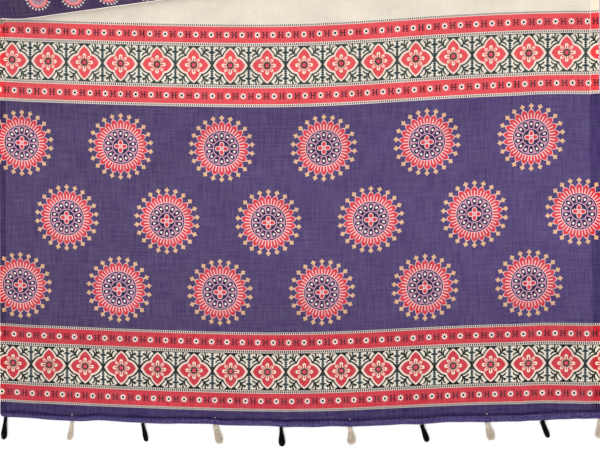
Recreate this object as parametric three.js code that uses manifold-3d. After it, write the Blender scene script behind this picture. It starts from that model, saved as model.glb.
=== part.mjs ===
// A cotton linen saree, laid out flat. Its end piece (the pallu) is spread in one layer
// with a row of tassels along its end, and the rest of the length is folded into a packet
// that lies over the far end of the spread cloth.
// Millimetres, +Z up. X runs across the cloth, Y along it, away from the tassels.
// The origin is on the floor under the middle of the spread field.

import * as THREE from 'three';
import { mergeVertices } from 'three/addons/utils/BufferGeometryUtils.js';
import Module from 'manifold-3d';

const wasm = await Module();
wasm.setup();

// ---- Driving sizes -------------------------------------------------------------------

const CLOTH_WIDTH = 1133; // selvedge to selvedge, from a 45 inch loom
const LEFT = -561; // its left selvedge
const RIGHT = LEFT + CLOTH_WIDTH;
const WALL = 1.2; // the cloth with its loft
const EDGE_ROUND = 0.35; // how far a cut edge bulges
const GAP = 0.3; // air between two pieces that lie on each other

const END = -378.5; // the tasselled end
const END_CORNER = { left: 8, right: 4 }; // radius of each corner of the end
const CORNER_REACH = 42; // how far in from a selvedge a rounded corner moves the cloth

// The turned hem along the end: its depth at the left and at the right selvedge.
const HEM = { left: 9.5, right: 14.3, loft: 1.5, thin: 0.8 };
const SIDE_HEM = { left: 10, loft: 1.1, thin: 0.7 };
const RIGHT_HEM = { near: 18, far: 26, from: -380, to: 250 }; // it widens from v = from to v = to

const PACKET = {
  left: -565, // where its near edge starts
  near: 382.7,
  turn: THREE.MathUtils.degToRad(7.27), // turned against the spread cloth
  length: 1150,
  depth: CLOTH_WIDTH / 2, // folded in half lengthwise
  corner: 14,
  layers: 7, // hidden layers, under the one on top
  layer: 1.25,
  crown: 3,
  underlap: 95, // how far the spread cloth runs on under it
};
const CORNER_PULL = { rise: 9.5, reach: 56, depth: 80, power: 1.4 }; // lifted near left corner
const LIP = { near: 1.6, folded: 3.2, drop: 1.0, air: 0.48 }; // rim of the top layer past the others

// u: where a tassel is tied to the end. lean: degrees that it lies turned towards +X.
// neck and skirt: its width at both ends.
const TASSELS = [
  { u: -558.3, tone: 'dark', lean: -5, length: 42, neck: 6.6, skirt: 12.2 },
  { u: -422.6, tone: 'cream', lean: -8.5, length: 36, neck: 6.4, skirt: 11.4 },
  { u: -287.8, tone: 'dark', lean: 12, length: 35, neck: 6.6, skirt: 10 },
  { u: -150.2, tone: 'cream', lean: 16, length: 37, neck: 10.2, skirt: 16.4 },
  { u: -25.6, tone: 'dark', lean: 4, length: 36, neck: 6.4, skirt: 13.4 },
  { u: 103.4, tone: 'cream', lean: 7, length: 33, neck: 8, skirt: 17.6 },
  { u: 237, tone: 'dark', lean: 19, length: 34, neck: 8, skirt: 11.8 },
  { u: 357.7, tone: 'cream', lean: 16, length: 34, neck: 8.8, skirt: 17.6 },
  { u: 459, tone: 'dark', lean: 21, length: 33, neck: 9.2, skirt: 10.8 },
  { u: 570.2, tone: 'cream', lean: -5, length: 36, neck: 9.6, skirt: 16.4 },
];

// ---- How the spread cloth lies -------------------------------------------------------

// The weft isn't straight: it bows, higher at both selvedges than in the middle.
const BOW = { middle: 10, span: 560, rise: 12.4, bow: 35.5, skew: -9.8, flat: -21, grow: 0.96 / 400 };

function weftRise(u, v) {
  const x = (u - BOW.middle) / BOW.span;
  return BOW.rise * x + (BOW.bow + BOW.grow * v) * x ** 2 + BOW.skew * x ** 3 + BOW.flat * x ** 4;
}

// Soft folds: each runs along the cloth from one v to another, drifts across it on the way
// from u, and lifts the cloth by height over half a width on each side of its middle.
const FOLDS = [
  { u: -412, drift: -73, from: -260, to: 80, height: 2.6, half: 22 },
  { u: -237, drift: 12, from: -470, to: -120, height: 2.0, half: 22 },
  { u: -22, drift: 14, from: -480, to: -215, height: 2.8, half: 20 },
  { u: 150, drift: -22, from: -260, to: 190, height: 1.8, half: 26 },
  { u: 409, drift: 20, from: -500, to: -170, height: 3.0, half: 17 },
  { u: 492, drift: 8, from: -500, to: -240, height: 2.6, half: 17 },
];
const FOLD_STEPS = [-1, -0.5, 0, 0.5, 1];

const bell = (t) => (Math.abs(t) < 1 ? Math.cos((t * Math.PI) / 2) ** 2 : 0);

function foldCentre(fold, v) {
  const along = THREE.MathUtils.clamp((v - fold.from) / (fold.to - fold.from), 0, 1);
  return fold.u + fold.drift * along;
}

function foldLift(u, v) {
  let lift = 0;
  for (const fold of FOLDS) {
    const along = (2 * v - fold.from - fold.to) / (fold.to - fold.from);
    lift += fold.height * bell((u - foldCentre(fold, v)) / fold.half) * bell(along);
  }
  return lift;
}

// How far a rounded corner of the end pulls the selvedge in, at height v.
function cornerInset(v, radius) {
  const short = radius - (v - END);
  return short > 0 ? radius - Math.sqrt(Math.max(radius ** 2 - short ** 2, 0)) : 0;
}

function roundCorners(u, v) {
  const fromLeft = u - LEFT;
  const fromRight = RIGHT - u;
  if (fromLeft < CORNER_REACH) return u + cornerInset(v, END_CORNER.left) * (1 - fromLeft / CORNER_REACH);
  if (fromRight < CORNER_REACH) return u - cornerInset(v, END_CORNER.right) * (1 - fromRight / CORNER_REACH);
  return u;
}

// The end isn't cut dead straight, and its hem draws it in between the ties: by drawn at u.
// The wave fades out by v = DRAWN_TO.
const END_LINE = [
  { u: -561, drawn: 2.4 },
  { u: -512, drawn: 1.5 },
  { u: -456, drawn: -1 },
  { u: -411, drawn: -1 },
  { u: -366, drawn: 2.8 },
  { u: -321, drawn: 1.8 },
  { u: -254, drawn: 1.8 },
  { u: -209, drawn: 3.7 },
  { u: -164, drawn: 4.6 },
  { u: -130, drawn: 2.7 },
  { u: -60, drawn: 2.5 },
  { u: -7, drawn: 0.4 },
  { u: 38, drawn: -0.6 },
  { u: 69, drawn: 0.4 },
  { u: 105, drawn: -1.2 },
  { u: 173, drawn: -1.1 },
  { u: 200, drawn: -0.4 },
  { u: 232, drawn: -1.8 },
  { u: 285, drawn: 0 },
  { u: 320, drawn: -1.1 },
  { u: 357, drawn: -2.6 },
  { u: 400, drawn: -2.8 },
  { u: 459, drawn: -1.3 },
  { u: 498, drawn: 1.7 },
  { u: 532, drawn: 3.1 },
  { u: 572, drawn: 5.6 },
];
const DRAWN_TO = -350;

function drawnIn(u, v) {
  const after = END_LINE.findIndex((place) => place.u > u);
  const next = END_LINE[after < 0 ? END_LINE.length - 1 : after];
  const last = END_LINE[after < 0 ? END_LINE.length - 1 : Math.max(after - 1, 0)];
  const depth = last.drawn + (next.drawn - last.drawn) * THREE.MathUtils.smoothstep(u, last.u, next.u);
  return depth * (1 - THREE.MathUtils.smoothstep(v, END + HEM.right, DRAWN_TO));
}

function layCloth(u, v, height) {
  return new THREE.Vector3(roundCorners(u, v), v + weftRise(u, v) + drawnIn(u, v), foldLift(u, v) + height);
}

// ---- Grids of points and the closed walls between them --------------------------------

const spread = (from, to, count) => Array.from({ length: count }, (_, i) => from + ((to - from) * i) / (count - 1));

// Indices of the rim of a columns x rows grid, anticlockwise seen from above.
function rimOf(columns, rows) {
  const rim = [];
  for (let i = 0; i < columns - 1; i++) rim.push(i);
  for (let j = 0; j < rows - 1; j++) rim.push(j * columns + columns - 1);
  for (let i = columns - 1; i > 0; i--) rim.push((rows - 1) * columns + i);
  for (let j = rows - 1; j > 0; j--) rim.push(j * columns);
  return rim;
}

// The outward direction in the floor plane at each point of a closed rim.
function rimNormals(points) {
  return points.map((_, k) => {
    const before = points[(k + points.length - 1) % points.length];
    const after = points[(k + 1) % points.length];
    return new THREE.Vector3(after.y - before.y, before.x - after.x, 0).normalize();
  });
}

// A closed body: a lower grid, an upper grid and rings that join their rims.
// ring k of rings gives each rim point's { out, up } from { share of the height }.
function closeBody(lower, upper, columns, rows, rings) {
  const vertices = [...lower, ...upper];
  const faces = [];
  const quad = (a, b, c, d) => faces.push(a, b, c, a, c, d);
  const top = lower.length;
  for (let j = 0; j < rows - 1; j++) {
    for (let i = 0; i < columns - 1; i++) {
      const a = j * columns + i;
      quad(a, a + columns, a + columns + 1, a + 1);
      quad(top + a, top + a + 1, top + a + columns + 1, top + a + columns);
    }
  }
  const rim = rimOf(columns, rows);
  const outward = rimNormals(rim.map((i) => lower[i]));
  let below = rim;
  for (const ring of rings) {
    const level = rim.map((index, k) => {
      const shift = ring(k, rim.length, lower[index], upper[index]);
      const point = lower[index].clone().lerp(upper[index], shift.share);
      point.addScaledVector(outward[k], shift.out);
      point.z += shift.up ?? 0;
      vertices.push(point);
      return vertices.length - 1;
    });
    joinRims(below, level, quad);
    below = level;
  }
  joinRims(below, rim.map((i) => i + top), quad);
  const geometry = new THREE.BufferGeometry();
  geometry.setAttribute('position', new THREE.Float32BufferAttribute(vertices.flatMap((p) => p.toArray()), 3));
  geometry.setIndex(faces);
  return geometry;
}

function joinRims(low, high, quad) {
  low.forEach((a, k) => {
    const next = (k + 1) % low.length;
    quad(a, low[next], high[next], high[k]);
  });
}

const roundEdge = [() => ({ share: 0.5, out: EDGE_ROUND })];

// A wall over a grid of cloth points: pointAt(i, j, level) with level 0 below and 1 above.
function gridPoints(columns, rows, pointAt, level) {
  const points = [];
  for (let j = 0; j < rows; j++) for (let i = 0; i < columns; i++) points.push(pointAt(i, j, level));
  return points;
}

function wallOver(columns, rows, pointAt, rings = roundEdge) {
  const lower = gridPoints(columns, rows, pointAt, 0);
  const upper = gridPoints(columns, rows, pointAt, 1);
  return closeBody(lower, upper, columns, rows, rings);
}

// ---- The packet's own frame ----------------------------------------------------------

// p runs along its near edge from the left, q away from that edge.
function packetToFloor(p, q, z) {
  const x = PACKET.left + p * Math.cos(PACKET.turn) - q * Math.sin(PACKET.turn);
  const y = PACKET.near + p * Math.sin(PACKET.turn) + q * Math.cos(PACKET.turn);
  return new THREE.Vector3(x, y, z);
}

// Where its near edge, moved out by q, crosses the line X = u: how far along the spread cloth.
function packetLine(u, q) {
  const p = (u - PACKET.left + q * Math.sin(PACKET.turn)) / Math.cos(PACKET.turn);
  const y = PACKET.near + p * Math.sin(PACKET.turn) + q * Math.cos(PACKET.turn);
  return y - weftRise(u, y);
}

// ---- The spread cloth ------------------------------------------------------------------

const END_SHARES = [0, 0.18, 0.5, 1]; // rows that the end hem covers, in shares of its depth
const FIELD_ROWS = [DRAWN_TO, -325, -290, -245, -190, -130, -60, 10, 80, 150, 240, 352];
const BETWEEN = 3; // columns between one fold and the next
const UNDER_ROWS = [0.4, 1]; // shares of the way from the last row to the hidden end
const ROW_COUNT = END_SHARES.length + FIELD_ROWS.length + UNDER_ROWS.length;

const hemDepth = (u) => THREE.MathUtils.lerp(HEM.left, HEM.right, (u - LEFT) / CLOTH_WIDTH);

function rightHem(v) {
  const share = THREE.MathUtils.smoothstep(v, RIGHT_HEM.from, RIGHT_HEM.to);
  return THREE.MathUtils.lerp(RIGHT_HEM.near, RIGHT_HEM.far, share);
}

// Columns across the cloth at height v: close together over each fold, which they follow.
function columnsAt(v) {
  const left = [0, SIDE_HEM.left / 2, SIDE_HEM.left, 24, CORNER_REACH].map((inset) => LEFT + inset);
  const hem = rightHem(v);
  const right = [CORNER_REACH, 32, hem, hem / 2, 0].map((inset) => RIGHT - inset);
  const columns = [...left];
  for (const fold of FOLDS) {
    const steps = FOLD_STEPS.map((step) => foldCentre(fold, v) + step * fold.half);
    const from = columns[columns.length - 1];
    columns.push(...spread(from, steps[0], BETWEEN + 2).slice(1, -1), ...steps);
  }
  const last = columns[columns.length - 1];
  columns.push(...spread(last, right[0], 3).slice(1, -1), ...right);
  return columns;
}

const COLUMN_COUNT = columnsAt(0).length;
const SIDE_COLUMNS = 3; // columns that a side hem covers

// The point of the end where a thread is tied at u, on the straight edge between two columns.
function endPoint(u) {
  const columns = columnsAt(END);
  const i = THREE.MathUtils.clamp(columns.findIndex((column) => column > u), 1, columns.length - 1);
  const before = layCloth(columns[i - 1], END, 0);
  const after = layCloth(columns[i], END, 0);
  return before.lerp(after, (u - columns[i - 1]) / (columns[i] - columns[i - 1]));
}

function clothPlace(i, row) {
  if (row < END_SHARES.length) {
    const u = columnsAt(END)[i];
    return { u, v: END + END_SHARES[row] * hemDepth(u) };
  }
  const field = row - END_SHARES.length;
  if (field < FIELD_ROWS.length) return { u: columnsAt(FIELD_ROWS[field])[i], v: FIELD_ROWS[field] };
  const last = FIELD_ROWS[FIELD_ROWS.length - 1];
  const u = columnsAt(last)[i];
  const share = UNDER_ROWS[field - FIELD_ROWS.length];
  return { u, v: last + (packetLine(u, PACKET.underlap) - last) * share };
}

function spreadCloth() {
  return wallOver(COLUMN_COUNT, ROW_COUNT, (i, j, level) => {
    const { u, v } = clothPlace(i, j);
    return layCloth(u, v, level * WALL);
  });
}

// A hem lies on the cloth: its underside is the cloth's own points, moved out by the gap.
const ON_CLOTH = WALL + GAP;
const HEM_AIR = 0.34; // between the end hem, which slants, and a side hem

function endHem() {
  const loft = [HEM.thin, HEM.loft, HEM.loft, HEM.thin];
  return wallOver(COLUMN_COUNT, END_SHARES.length, (i, j, level) => {
    const { u, v } = clothPlace(i, j);
    return layCloth(u, v, ON_CLOTH + level * loft[j]);
  });
}

// A side hem starts past the end hem and stops just short of the packet.
function sideHem(firstColumn, loft) {
  const start = END_SHARES.length - 1;
  const rows = FIELD_ROWS.length + 1;
  const stops = (u) => packetLine(u, -LIP.near - 2);
  const extra = [0.5, 1];
  return wallOver(SIDE_COLUMNS, rows + extra.length, (i, j, level) => {
    const height = ON_CLOTH + level * loft[i];
    const { u, v } = clothPlace(firstColumn + i, start + Math.min(j, rows - 1));
    if (j === 0) return layCloth(u, v + EDGE_ROUND * 2 + HEM_AIR, height);
    if (j < rows) return layCloth(u, v, height);
    return layCloth(u, v + (stops(u) - v) * extra[j - rows], height);
  });
}

// ---- The folded packet ---------------------------------------------------------------

const PACKET_ENDS = [0, 4, 14, 36];
const FAR_ROWS = [...PACKET_ENDS].reverse().map((inset) => PACKET.depth - inset);
const PAST_CLOTH = PACKET.underlap + 15; // the packet's underside is level up to here
const PACKET_ROWS = [0, 2, 6, 14, 36, PAST_CLOTH, 180, 280, 380, 470, ...FAR_ROWS];
const PACKET_MIDDLE = 11; // columns between the two ends

function packetColumns() {
  const near = PACKET_ENDS;
  const far = [...PACKET_ENDS].reverse().map((inset) => PACKET.length - inset);
  const middle = spread(near[near.length - 1], far[0], PACKET_MIDDLE + 2).slice(1, -1);
  return [...near, ...middle, ...far];
}

// The corners are rounded, and the near left one is pulled back.
function packetPlace(p, q) {
  const fromEdge = Math.min(q, PACKET.depth - q);
  const short = Math.max(PACKET.corner - fromEdge, 0);
  const inset = PACKET.corner - Math.sqrt(PACKET.corner ** 2 - short ** 2);
  const along = inset + (p * (PACKET.length - 2 * inset)) / PACKET.length;
  const pull = CORNER_PULL.rise * Math.max(1 - along / CORNER_PULL.reach, 0) ** CORNER_PULL.power;
  return { p: along, q: q + pull * Math.max(1 - q / CORNER_PULL.depth, 0) };
}

// The packet lies on the spread cloth, and past its edges it settles on the floor.
function packetFloor(p, q) {
  const place = packetToFloor(p, q, 0);
  const past = Math.max(LEFT - place.x, place.x - RIGHT, q - PACKET.underlap - 20);
  return (WALL + GAP) * (1 - THREE.MathUtils.smoothstep(past, 30, 70));
}

function packetCrown(p, q) {
  const across = 1 - Math.abs((2 * p) / PACKET.length - 1) ** 6;
  const deep = 1 - Math.abs((2 * q) / PACKET.depth - 1) ** 4;
  return PACKET.crown * across * deep;
}

function foldsTop(p, q) {
  return WALL + GAP + PACKET.layers * PACKET.layer + packetCrown(p, q);
}

// Which side of the packet a point of its rim is on, from its place in the rim.
function rimSide(k, columns, rows) {
  if (k < columns - 1) return 'near';
  if (k < columns + rows - 2) return 'right';
  if (k < 2 * columns + rows - 3) return 'far';
  return 'left';
}

// Loose selvedges on the near side, and turned folds on the others, of two layers each.
const SIDES = {
  near: { wander: 2.2, between: 2.6, inside: 2.6 },
  far: { wander: 1.2, between: 4.2, inside: 0.5 },
  left: { wander: 1.6, between: 3.6, inside: 0.9 },
  right: { wander: 1.6, between: 3.6, inside: 0.9 },
};

function layeredRings(columns, rows) {
  const rings = [];
  const wanderAt = (layer, k) => Math.sin(layer * 2.4 + k * 0.37) - 0.3;
  for (let layer = 0; layer < PACKET.layers; layer++) {
    rings.push((k) => {
      const side = SIDES[rimSide(k, columns, rows)];
      return { share: (layer + 0.5) / PACKET.layers, out: side.wander * wanderAt(layer, k) * 0.5 };
    });
    if (layer === PACKET.layers - 1) break;
    rings.push((k) => {
      const side = SIDES[rimSide(k, columns, rows)];
      const groove = layer % 2 === 0 ? side.between : side.inside;
      return { share: (layer + 1) / PACKET.layers, out: -groove };
    });
  }
  return rings;
}

function packetFolds() {
  const across = packetColumns();
  const rings = layeredRings(across.length, PACKET_ROWS.length);
  return wallOver(across.length, PACKET_ROWS.length, (i, j, level) => {
    const { p, q } = packetPlace(across[i], PACKET_ROWS[j]);
    return packetToFloor(p, q, level === 0 ? packetFloor(p, q) : foldsTop(p, q));
  }, rings);
}

// The layer on top lies on the folds' own points, moved out, and its rim hangs over them.
function packetTop() {
  const across = packetColumns();
  const columns = across.length + 2;
  const rows = PACKET_ROWS.length + 2;
  const inner = (i, j) => packetPlace(across[i], PACKET_ROWS[j]);
  return wallOver(columns, rows, (i, j, level) => {
    const column = THREE.MathUtils.clamp(i - 1, 0, across.length - 1);
    const row = THREE.MathUtils.clamp(j - 1, 0, PACKET_ROWS.length - 1);
    const { p, q } = inner(column, row);
    const sideways = i - 1 - column;
    const deeper = j - 1 - row;
    const reach = deeper < 0 ? LIP.near : LIP.folded;
    const outP = p + sideways * LIP.folded;
    const outQ = q + deeper * reach;
    const drop = sideways === 0 && deeper === 0 ? 0 : deeper < 0 && sideways === 0 ? 0.4 : LIP.drop;
    return packetToFloor(outP, outQ, foldsTop(p, q) + LIP.air + level * WALL - drop);
  });
}

// ---- Tassels ---------------------------------------------------------------------------

const HEAD = { length: 9, height: 4.6, round: 8, tall: 5 };
const STRAND = { radius: 0.5, steps: 3, sides: 3, rootInHead: 3.5 };
const STRAND_LAYERS = [
  { count: 5, root: 0.95, tip: 0.62 },
  { count: 4, root: 2.25, tip: 1.7 },
  { count: 3, root: 3.5, tip: 2.8 },
];

function toSolid(geometry) {
  const bare = geometry.toNonIndexed();
  bare.deleteAttribute('normal');
  bare.deleteAttribute('uv');
  const merged = mergeVertices(bare, 1e-4);
  const vertProperties = new Float32Array(merged.attributes.position.array);
  const triVerts = new Uint32Array(merged.index.array);
  return new wasm.Manifold(new wasm.Mesh({ numProp: 3, vertProperties, triVerts }));
}

// Points closer than SNAP are one point.
const SNAP = 0.02;

function toGeometry(solid) {
  const mesh = solid.setTolerance(SNAP).getMesh();
  const geometry = new THREE.BufferGeometry();
  geometry.setAttribute('position', new THREE.Float32BufferAttribute(mesh.vertProperties, 3));
  geometry.setIndex(Array.from(mesh.triVerts));
  return geometry;
}

// A strand: a thin three-sided bar swept along its line, from inside the head to its tip.
function strandBar(line) {
  const rings = line.map((point, k) => {
    const taper = k === line.length - 1 ? 0.7 : 1;
    return spread(0, STRAND.sides, STRAND.sides + 1).slice(0, -1).map((side) => {
      const angle = (side / STRAND.sides) * 2 * Math.PI + Math.PI / 2;
      const radius = STRAND.radius * taper;
      return new THREE.Vector3(point.x + radius * Math.cos(angle), point.y, point.z + radius * Math.sin(angle));
    });
  });
  const vertices = rings.flat();
  const faces = [];
  const n = STRAND.sides;
  for (let k = 0; k < rings.length - 1; k++) {
    for (let s = 0; s < n; s++) {
      const a = k * n + s;
      const b = k * n + ((s + 1) % n);
      faces.push(a, b, b + n, a, b + n, a + n);
    }
  }
  const last = (rings.length - 1) * n;
  for (let s = 1; s < n - 1; s++) faces.push(0, s + 1, s, last, last + s, last + s + 1);
  const geometry = new THREE.BufferGeometry();
  geometry.setAttribute('position', new THREE.Float32BufferAttribute(vertices.flatMap((p) => p.toArray()), 3));
  geometry.setIndex(faces);
  return geometry;
}

// A tassel in its own frame: tied at the origin and running along -Y on the floor.
function tasselGeometry({ length, neck, skirt }, seed) {
  const head = new THREE.SphereGeometry(1, HEAD.round, HEAD.tall);
  head.rotateX(Math.PI / 2);
  head.scale(neck / 2, HEAD.length / 2, HEAD.height / 2);
  head.translate(0, -HEAD.length / 2, HEAD.height / 2);
  let solid = toSolid(head);
  STRAND_LAYERS.forEach((layer, level) => {
    for (let s = 0; s < layer.count; s++) {
      const across = layer.count === 1 ? 0 : (2 * s) / (layer.count - 1) - 1;
      const narrow = 1 - level * 0.22;
      const ragged = 1 - 0.1 * Math.abs(Math.sin(seed * 3.1 + s * 2.3 + level));
      const tip = length * ragged;
      const line = spread(0, 1, STRAND.steps + 1).map((t) => {
        const half = (neck / 2 - 1.1 + ((skirt - neck) / 2 + 0.5) * Math.sqrt(t)) * narrow;
        const y = -STRAND.rootInHead - (tip - STRAND.rootInHead) * t;
        return new THREE.Vector3(across * half, y, layer.root + (layer.tip - layer.root) * t);
      });
      solid = solid.add(toSolid(strandBar(line)));
    }
  });
  return toGeometry(solid);
}

// ---- Finishes and the assembled saree --------------------------------------------------

const finish = (color, roughness) => new THREE.MeshStandardMaterial({ color, roughness, metalness: 0 });
const FINISHES = {
  printed: finish('#645580', 0.85),
  hem: finish('#4b4068', 0.85),
  cream: finish('#e6ddca', 0.85),
  dark: finish('#141318', 0.8),
  light: finish('#cdbfae', 0.8),
};

const saree = new THREE.Group();

function addPiece(name, geometry, material) {
  const piece = new THREE.Mesh(geometry, material);
  piece.name = name;
  saree.add(piece);
  return piece;
}

addPiece('pallu', spreadCloth(), FINISHES.printed);
addPiece('hem_end', endHem(), FINISHES.hem);
const leftLoft = [SIDE_HEM.thin, SIDE_HEM.loft, SIDE_HEM.thin];
addPiece('hem_left', sideHem(0, leftLoft), FINISHES.printed);
addPiece('hem_right', sideHem(COLUMN_COUNT - SIDE_COLUMNS, leftLoft), FINISHES.printed);
addPiece('packet_folds', packetFolds(), FINISHES.cream);
addPiece('packet_top', packetTop(), FINISHES.cream);

TASSELS.forEach((tassel, index) => {
  const material = tassel.tone === 'dark' ? FINISHES.dark : FINISHES.light;
  const piece = addPiece(`tassel_${index + 1}`, tasselGeometry(tassel, index), material);
  const edge = endPoint(tassel.u);
  piece.position.set(edge.x, edge.y - EDGE_ROUND - GAP, 0);
  piece.rotation.z = THREE.MathUtils.degToRad(tassel.lean);
});

export default saree;
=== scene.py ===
# %% [markdown]
# # A cotton linen saree, laid out flat
# A saree is one long strip of cloth. Its show end, the pallu, lies spread in one layer with
# tassels along its hem, and the rest is folded into a packet that lies over the far end.
# Every piece below takes the place of one of its solids, so its sizes start from that
# solid's box.

# %% Load the frame
import math

import bpy
import numpy as np
from mathutils import Matrix, Vector


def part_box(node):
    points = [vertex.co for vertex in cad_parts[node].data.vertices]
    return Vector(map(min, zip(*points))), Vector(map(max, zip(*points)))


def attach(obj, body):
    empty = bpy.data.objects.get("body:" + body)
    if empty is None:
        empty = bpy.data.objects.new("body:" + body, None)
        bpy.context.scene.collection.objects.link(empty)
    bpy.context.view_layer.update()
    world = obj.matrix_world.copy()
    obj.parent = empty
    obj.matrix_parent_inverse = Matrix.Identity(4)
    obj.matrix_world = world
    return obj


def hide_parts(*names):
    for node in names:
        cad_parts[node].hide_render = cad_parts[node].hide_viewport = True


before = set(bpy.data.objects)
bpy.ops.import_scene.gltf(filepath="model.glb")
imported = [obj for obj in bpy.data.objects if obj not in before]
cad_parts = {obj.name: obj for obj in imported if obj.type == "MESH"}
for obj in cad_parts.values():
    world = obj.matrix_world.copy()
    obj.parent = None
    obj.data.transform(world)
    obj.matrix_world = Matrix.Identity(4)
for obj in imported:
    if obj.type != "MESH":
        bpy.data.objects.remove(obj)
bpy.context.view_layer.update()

MM = 0.001
TURN = 2 * math.pi
body = "root"
print("nodes in the frame:", len(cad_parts))

# %% [markdown]
# ## The cloth's own coordinates
# A weaver thinks of cloth as a flat grid: u runs across it from selvedge to selvedge and v
# runs along it. A print, a hem and a crease are all easy to place on that grid. One function
# then lays the grid on the floor, with its bowed weft and its soft folds. Hems reuse the
# same function with more height, so they follow the cloth under them exactly.

# %% Sizes of the spread cloth
edge_round = 0.35 * MM
wall = 1.2 * MM
gap = 0.3 * MM
pallu_low, pallu_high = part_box("pallu")
left_edge = pallu_low.x + edge_round  # the two selvedges
right_edge = pallu_high.x - edge_round
end = -378.5 * MM
end_corner = {"left": 8 * MM, "right": 4 * MM}
corner_reach = 42 * MM
print("cloth width in mm:", round((right_edge - left_edge) / MM, 1))


# %% The bowed weft
# In mm: each term is how far the weft climbs one span from the middle. The bow grows along v.
BOW = {"middle": 10, "span": 560, "rise": 12.4, "bow": 35.5, "skew": -9.8, "flat": -21, "grow": 0.0024}


def weft_rise(u, v):
    """How far the weft climbs at u, in metres: higher at both selvedges than in the middle."""
    x = (u / MM - BOW["middle"]) / BOW["span"]
    bow = BOW["bow"] + BOW["grow"] * v / MM
    return (BOW["rise"] * x + bow * x**2 + BOW["skew"] * x**3 + BOW["flat"] * x**4) * MM


# %% [markdown]
# ## Folds and creases
# Cloth that was folded for storage never lies quite flat. Six soft folds are in the solid
# model, and shorter creases are added here. Each is a row in a table: where it starts, how
# far it drifts, how high and how wide it is. A rounded bell shape lifts the cloth, so the
# underside stays on the floor everywhere else.

# %% Tables of folds and creases, in millimetres
FOLDS = [
    # u, drift, from v, to v, height, half width
    (-412, -73, -260, 80, 2.6, 22),
    (-237, 12, -470, -120, 2.0, 22),
    (-22, 14, -480, -215, 2.8, 20),
    (150, -22, -260, 190, 1.8, 26),
    (409, 20, -500, -170, 3.0, 17),
    (492, 8, -500, -240, 2.6, 17),
]
CREASES = [
    # u, drift, from v, to v, height, half width
    (-66, 18, -372, -345, 1.0, 7),
    (-118, 6, -376, -300, 0.7, 9),
    (-330, 10, -374, -310, 0.6, 10),
    (-180, -30, -160, 60, 0.7, 18),
    (-330, 24, 20, 215, 0.7, 20),
    (-505, 10, 60, 330, 0.8, 16),
    (-60, -12, 30, 240, 0.6, 22),
    (62, 10, -190, 40, 0.8, 20),
    (88, -8, 90, 360, 0.7, 15),
    (232, 14, -40, 210, 0.9, 13),
    (268, -10, 60, 250, 0.6, 10),
    (305, 16, 120, 380, 0.8, 14),
    (352, -6, -30, 170, 0.7, 12),
    (398, 8, 70, 300, 0.8, 13),
    (446, -12, 110, 400, 0.7, 11),
    (486, 8, -120, 200, 0.9, 14),
    (520, -6, 160, 420, 0.7, 10),
    (330, 4, -376, -290, 0.8, 9),
    (452, -10, -376, -330, 1.1, 8),
    (536, 6, -376, -250, 1.2, 11),
    (205, 40, -250, -150, 0.6, 20),
    (-460, 60, 240, 330, 0.5, 16),
]


def bell(t):
    """A smooth hump: 1 in the middle and 0 past one unit on each side."""
    return np.where(np.abs(t) < 1, np.cos(np.clip(t, -1, 1) * math.pi / 2) ** 2, 0.0)


def lift(u, v, table):
    """The height in metres that a table's folds give the cloth at u, v."""
    height = np.zeros(np.broadcast(u, v).shape)
    for start, drift, low, high, tall, half in table:
        share = np.clip((v / MM - low) / (high - low), 0, 1)
        centre = start + drift * share
        along = (2 * v / MM - low - high) / (high - low)
        height += tall * MM * bell((u / MM - centre) / half) * bell(along)
    return height


# %% [markdown]
# ## The end's wave and its puckers
# The end is not cut dead straight, and a rolled hem draws the cloth in as it is sewn. So the
# end line wanders by a few millimetres, and small puckers run in from it and fade away.

# %% The end's wave and puckers
HEM_LINE = {"left": 9.5 * MM, "right": 14.3 * MM}  # how deep the hem is by each selvedge
FADE_LINE = 28.5 * MM
END_LINE = [
    # u, how far the end is drawn in there, in millimetres
    (-561, 2.4),
    (-512, 1.5),
    (-456, -1.0),
    (-411, -1.0),
    (-366, 2.8),
    (-321, 1.8),
    (-254, 1.8),
    (-209, 3.7),
    (-164, 4.6),
    (-130, 2.7),
    (-60, 2.5),
    (-7, 0.4),
    (38, -0.6),
    (69, 0.4),
    (105, -1.2),
    (173, -1.1),
    (200, -0.4),
    (232, -1.8),
    (285, 0.0),
    (320, -1.1),
    (357, -2.6),
    (400, -2.8),
    (459, -1.3),
    (498, 1.7),
    (532, 3.1),
    (572, 5.6),
]
WEFT_WAVE = {"tall": 0.6, "long": 450.0, "crest": -196.0}
CLIMBS = [
    # from u, to u, how far the weft climbs between them, the v where it fades, over how much
    (394, 469, 1.7, 225, 75),
    (538, 562, 1.6, 430, 30),
    (-500, -561, 1.8, 330, 30),
]


def ease(t):
    return t * t * (3 - 2 * t)


def hem_depth(u):
    """How deep the end hem is at u, in metres. It widens from left to right."""
    share = (u - left_edge) / (right_edge - left_edge)
    return HEM_LINE["left"] + (HEM_LINE["right"] - HEM_LINE["left"]) * share


def end_wave(u):
    """How far the end is drawn in at u, in metres."""
    places, depths = np.array(END_LINE).T
    k = np.clip(np.searchsorted(places, u / MM, side="right") - 1, 0, len(places) - 2)
    share = np.clip((u / MM - places[k]) / (places[k + 1] - places[k]), 0, 1)
    return (depths[k] + (depths[k + 1] - depths[k]) * ease(share)) * MM


def climb(u, v):
    """How far the weft climbs by the selvedges, in metres, where the hems draw it tight."""
    height = 0.0
    for start, stop, tall, until, fading in CLIMBS:
        share = ease(np.clip((u / MM - start) / (stop - start), 0, 1))
        height = height + tall * MM * share * ease(1 - np.clip((v / MM - until) / fading, 0, 1))
    return height


def drawn_in(u, v):
    """The end wave, which is gone at the print's first line. Smaller weft waves start there."""
    fade = ease(1 - np.clip((v - end - HEM_LINE["right"]) / (FADE_LINE - HEM_LINE["right"]), 0, 1))
    turn = TURN * (u / MM - WEFT_WAVE["crest"]) / WEFT_WAVE["long"]
    return end_wave(u) * fade + (WEFT_WAVE["tall"] * MM * np.cos(turn) + climb(u, v)) * (1 - fade)


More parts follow.
